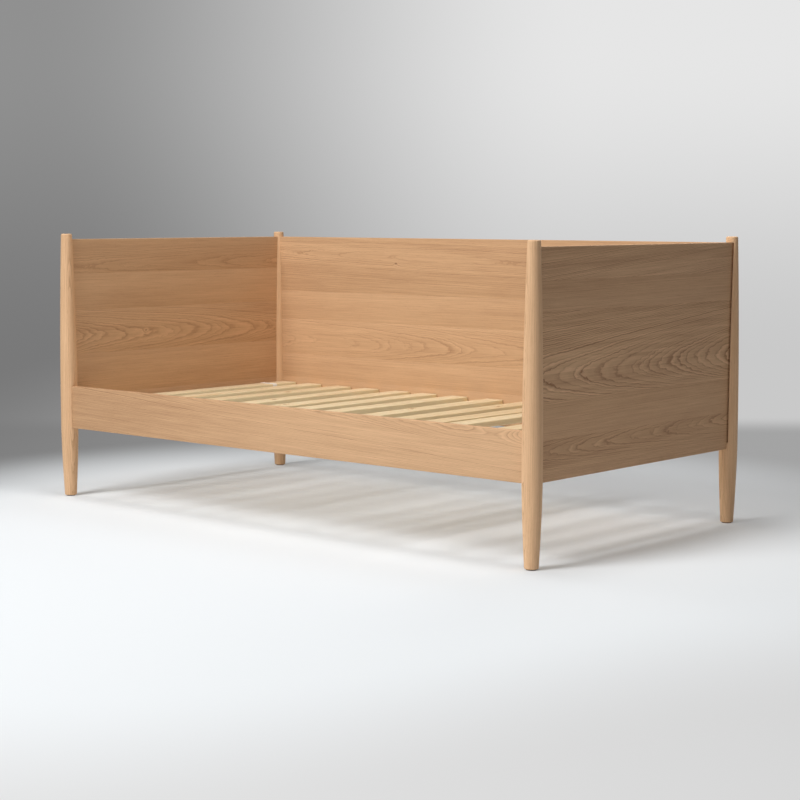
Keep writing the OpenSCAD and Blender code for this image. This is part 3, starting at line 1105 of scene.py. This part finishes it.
def make_camera():
    lens = bpy.data.cameras.new("camera")
    lens.sensor_width = 36
    lens.lens = LENS
    camera = new_object("camera", lens)
    camera.matrix_world = (
        Matrix.Translation(CAMERA_AT)
        @ Matrix.Rotation(CAMERA_TURN, 4, "Z")
        @ Matrix.Rotation(math.pi / 2 - CAMERA_DOWN, 4, "X")
        @ Matrix.Rotation(CAMERA_ROLL, 4, "Z")
    )
    bpy.context.scene.camera = camera


def backdrop_paint():
    """Pale matt floor that fades with distance into a softly glowing grey: painted light, darker on the
    left, with a painted shadow close behind the bed's right end.

    Sideways and depth are level distances in metres from the bed's middle, across and along the
    picture's line of sight. The paint is fixed in the room, and doesn't follow the camera.
    """
    g = Graph("backdrop")
    x, y, z = g.object_place()
    sideways = g.total(g.times(x, math.cos(CAMERA_TURN)), g.times(y, math.sin(CAMERA_TURN)))
    depth = g.total(g.times(x, -math.sin(CAMERA_TURN)), g.times(y, math.cos(CAMERA_TURN)))
    behind = g.step(depth, -1.5, 0.6)
    radius = g.math("SQRT", g.total(g.times(x, x), g.times(y, y)))
    front_reach = g.step(sideways, -0.8, 0.8, 2.4, 1.7)
    fade_start = g.mix(behind, g.grey(front_reach), g.grey(1.1))
    fade = g.step(g.math("SUBTRACT", radius, fade_start), 0.0, FADE_WIDTH)
    # Painted light and shade: the glow stands in for studio light on the backdrop, dim on the left and
    # bright on the right, with a painted shadow of the bed close behind its right end
    front_tone = g.step(sideways, -2.4, 2.4, 0.84, 0.62)
    painted_shadow_tone = g.step(depth, 2.0, 2.7, 0.36, 0.58)
    low_tone = g.step(sideways, -2.4, 1.3, 0.19, painted_shadow_tone)
    high_tone = g.step(sideways, -2.8, 1.6, 0.28, 0.79)
    glow = g.mix(behind, g.grey(front_tone), g.grey(low_tone))
    glow = g.mix(g.step(z, -0.2, 2.2), glow, g.grey(high_tone))
    glow = g.mix(fade, g.grey(FLOOR_GLOW), glow)
    tooth = g.cycles((x, y, z), (90.0, 90.0, 90.0), 3.0)
    g.set(
        Base_Color=g.mix(fade, linear(219, 223, 226), BLACK),
        Emission_Color=glow,
        Emission_Strength=1.0,
        Roughness=g.total(0.75, g.times(tooth, 0.1)),
        Specular_IOR_Level=0.0,
    )
    g.bump(tooth, 0.3 * MM, 0.15)
    return g.material


def make_backdrop():
    """A floor and a round wall on all sides, wider than the camera's orbit. The wall lights nothing."""
    paint = backdrop_paint()
    near = [(FLOOR_R * step / 6, 0) for step in range(7)]
    far = [(FLOOR_R, 0), (WALL_R - SWEEP_R, 0)]
    far += arc((WALL_R - SWEEP_R, SWEEP_R), SWEEP_R, -90, 0, steps=16)[1:] + [(WALL_R, WALL_TOP)]
    for name, outline in (("floor", near), ("wall", far)):
        shape = bmesh.new()
        lathe(shape, outline, (0, 0), sides=128)
        part = finished(name, shape)
        part.data.materials.append(paint)
        part.visible_diffuse = name == "floor"


def softbox(name, azimuth, height, size, power, distance=6.0, colour=(1, 1, 1)):
    """A round soft light that looks at the bed. Azimuth -90 is in front of it, and 180 to its left."""
    turn, lift = math.radians(azimuth), math.radians(height)
    aim = Vector((0, 0, 0.4))
    light = bpy.data.lights.new(name, "AREA")
    light.shape = "DISK"
    light.size = size
    light.energy = power
    light.color = colour
    lamp = new_object(name, light)
    away = Vector((math.cos(turn) * math.cos(lift), math.sin(turn) * math.cos(lift), math.sin(lift)))
    lamp.location = aim + distance * away
    lamp.rotation_euler = (-away).to_track_quat("-Z", "Y").to_euler()
    lamp.visible_camera = False


def make_lights():
    softbox("front_low", -96, 23, 3.2, 94, distance=7.5)
    softbox("front_middle", -97, 37, 3.2, 172, distance=7.5)
    softbox("front_high", -100, 50, 3.6, 300, distance=9.0)
    softbox("left", 180, 50, 2.5, 34)
    softbox("right", -15, 42, 4.0, 21, colour=(1, 0.84, 0.68))
    softbox("overhead", -90, 89, 1.4, 44, distance=6.0)
    softbox("inner", -20, 74, 1.6, 29, distance=3.3)
    softbox("back", 90, 50, 2.5, 50)
    bpy.context.scene.view_settings.view_transform = "Standard"


# ---------------------------------------------------------------- the whole

make_camera()
make_posts()
make_panels()
make_cleats()
SLAT_ROW = place_slats()
make_slats(SLAT_ROW)
make_ribbons(SLAT_ROW)
make_staples(SLAT_ROW)
make_bolts()
keep_cad_parts()
make_backdrop()
make_lights()
